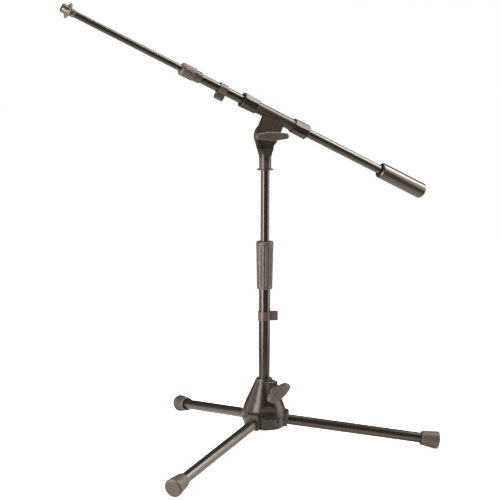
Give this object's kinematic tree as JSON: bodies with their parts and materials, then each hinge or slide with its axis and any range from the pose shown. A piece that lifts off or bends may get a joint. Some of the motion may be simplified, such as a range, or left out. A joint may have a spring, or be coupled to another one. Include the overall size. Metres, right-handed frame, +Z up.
{
  "type": "low-level boom microphone stand",
  "caption": "Low tripod stand with folding tube legs on a bell-shaped base, telescopic upright and tilting telescopic counterweighted boom ending in a microphone thread.",
  "frame": {"origin": "on the floor, straight under the upright's axis", "axes": "+Z up along the upright, +X along the right leg, the tripod's front leg and the clamp screw on the -Y side"},
  "size_m": [0.6926, 0.5908, 0.8266],
  "materials": {
    "casting_paint": "satin black powder coat",
    "tube_paint": "satin black powder coat",
    "black_plastic": "matte moulded black plastic",
    "gloss_plastic": "satin moulded black plastic",
    "boot_rubber": "matte black rubber",
    "zinc_steel": "zinc plated",
    "black_steel": "black oxide",
    "thread_steel": "blackened turned steel",
    "brass_pad": "turned",
    "weight_paint": "semi-gloss black powder coat",
    "washer_plastic": "black nylon"
  },
  "bodies": {
    "base": {"base_housing": "casting_paint", "leg_pins": "black_steel", "guide_bush": "washer_plastic", "clamp_pad": "brass_pad"},
    "base_wing": {"base_wing": "black_plastic", "base_screw": "zinc_steel"},
    "leg_right": {"hinge_block_right": "gloss_plastic", "leg_tube_right": "tube_paint", "leg_rivet_right": "zinc_steel", "boot_right": "boot_rubber"},
    "leg_back": {"hinge_block_back": "gloss_plastic", "leg_tube_back": "tube_paint", "leg_rivet_back": "zinc_steel", "boot_back": "boot_rubber"},
    "leg_front": {"hinge_block_front": "gloss_plastic", "leg_tube_front": "tube_paint", "leg_rivet_front": "zinc_steel", "boot_front": "boot_rubber"},
    "foot_cup": {"foot_cup": "washer_plastic"},
    "mast": {"lower_tube": "tube_paint", "clutch_body": "washer_plastic", "clutch_collet": "washer_plastic"},
    "clutch_grip": {"clutch_grip": "black_plastic"},
    "tube_clip": {"cable_clip_tube": "gloss_plastic"},
    "guide_plug": {"guide_plug": "washer_plastic"},
    "upper": {"upper_tube": "tube_paint", "flange_washer": "washer_plastic", "yoke": "casting_paint", "friction_washer": "washer_plastic", "tilt_bolt": "zinc_steel"},
    "bracket": {"bracket": "casting_paint"},
    "tilt_wing": {"tilt_wing": "black_plastic"},
    "grip_nut_front": {"grip_nut_front": "gloss_plastic"},
    "grip_nut_back": {"grip_nut_back": "gloss_plastic"},
    "boom_collets": {"boom_collet_front": "washer_plastic", "boom_collet_back": "washer_plastic"},
    "boom": {"boom_tube": "tube_paint", "counterweight": "weight_paint", "weight_screw": "black_steel", "boom_clutch_body": "gloss_plastic", "boom_clutch_collet": "washer_plastic"},
    "boom_clutch_grip": {"boom_clutch_grip": "black_plastic"},
    "boom_clip": {"cable_clip_boom": "gloss_plastic"},
    "rod_guide": {"rod_guide": "washer_plastic"},
    "boom_rod": {"boom_rod": "tube_paint", "tip_ferrule": "black_steel", "thread_stud": "thread_steel"},
    "lock_ring": {"lock_ring": "black_steel"}
  },
  "joints": [
    {"name": "base_wing_turn", "type": "hinge", "parent": "base", "child": "base_wing", "pos_m": [0, 0, 0.11982], "axis": [0.5, -0.866, 0], "continuous": true},
    {"name": "mast_lift", "type": "slide", "parent": "base", "child": "foot_cup", "axis": [0, 0, 1], "range_m": [0, 0.026]},
    {"name": "leg_fold_right", "type": "hinge", "parent": "base", "child": "leg_right", "pos_m": [0.02712, 0, 0.06321], "axis": [0, 1, 0], "range_deg": [0, 81]},
    {"name": "leg_fold_back", "type": "hinge", "parent": "base", "child": "leg_back", "pos_m": [-0.01356, 0.02349, 0.06321], "axis": [-0.866, -0.5, 0], "range_deg": [0, 81]},
    {"name": "leg_fold_front", "type": "hinge", "parent": "base", "child": "leg_front", "pos_m": [-0.01356, -0.02349, 0.06321], "axis": [0.866, -0.5, 0], "range_deg": [0, 81]},
    {"name": "mast_turn", "type": "hinge", "parent": "foot_cup", "child": "mast", "pos_m": [0, 0, 0.1], "axis": [0, 0, 1], "continuous": true},
    {"name": "clutch_twist", "type": "hinge", "parent": "mast", "child": "clutch_grip", "pos_m": [0, 0, 0.35], "axis": [0, 0, 1], "range_deg": [0, 270]},
    {"name": "tube_clip_turn", "type": "hinge", "parent": "mast", "child": "tube_clip", "pos_m": [0, 0, 0.2575], "axis": [0, 0, 1], "continuous": true},
    {"name": "upper_slide", "type": "slide", "parent": "mast", "child": "guide_plug", "axis": [0, 0, 1], "range_m": [-0.13, 0.075]},
    {"name": "upper_turn", "type": "hinge", "parent": "guide_plug", "child": "upper", "pos_m": [0, 0, 0.26], "axis": [0, 0, 1], "continuous": true},
    {"name": "boom_tilt", "type": "hinge", "parent": "upper", "child": "bracket", "pos_m": [0, 0, 0.594], "axis": [0.3931, -0.9195, 0], "range_deg": [-60, 90]},
    {"name": "tilt_wing_turn", "type": "hinge", "parent": "upper", "child": "tilt_wing", "pos_m": [0, 0, 0.594], "axis": [0.3931, -0.9195, 0], "continuous": true},
    {"name": "grip_front_twist", "type": "hinge", "parent": "bracket", "child": "grip_nut_front", "pos_m": [-0.02601, -0.01112, 0.65138], "axis": [-0.8322, -0.3558, 0.4253], "range_deg": [-270, 0]},
    {"name": "grip_back_twist", "type": "hinge", "parent": "bracket", "child": "grip_nut_back", "pos_m": [0.06553, 0.02802, 0.60459], "axis": [-0.8322, -0.3558, 0.4253], "range_deg": [0, 270]},
    {"name": "boom_turn", "type": "hinge", "parent": "bracket", "child": "boom_collets", "pos_m": [0.0156, 0.00667, 0.63011], "axis": [-0.8322, -0.3558, 0.4253], "continuous": true},
    {"name": "boom_slide", "type": "slide", "parent": "boom_collets", "child": "boom", "axis": [-0.8322, -0.3558, 0.4253], "range_m": [-0.034, 0.17]},
    {"name": "boom_clutch_twist", "type": "hinge", "parent": "boom", "child": "boom_clutch_grip", "pos_m": [-0.14251, -0.06093, 0.71092], "axis": [-0.8322, -0.3558, 0.4253], "range_deg": [-270, 0]},
    {"name": "boom_clip_turn", "type": "hinge", "parent": "boom", "child": "boom_clip", "pos_m": [-0.07926, -0.03389, 0.6786], "axis": [-0.8322, -0.3558, 0.4253], "continuous": true},
    {"name": "rod_slide", "type": "slide", "parent": "boom", "child": "rod_guide", "axis": [-0.8322, -0.3558, 0.4253], "range_m": [-0.215, 0.03]},
    {"name": "rod_turn", "type": "hinge", "parent": "rod_guide", "child": "boom_rod", "pos_m": [-0.15083, -0.06449, 0.71517], "axis": [-0.8322, -0.3558, 0.4253], "continuous": true},
    {"name": "lock_ring_turn", "type": "hinge", "parent": "boom_rod", "child": "lock_ring", "pos_m": [-0.34348, -0.14686, 0.81363], "axis": [-0.8322, -0.3558, 0.4253], "continuous": true}
  ],
  "couplings": [
    {"joint": "leg_fold_right", "follows": "mast_lift", "rad_per_m": 53.702},
    {"joint": "leg_fold_back", "follows": "mast_lift", "rad_per_m": 53.702},
    {"joint": "leg_fold_front", "follows": "mast_lift", "rad_per_m": 53.702}
  ]
}
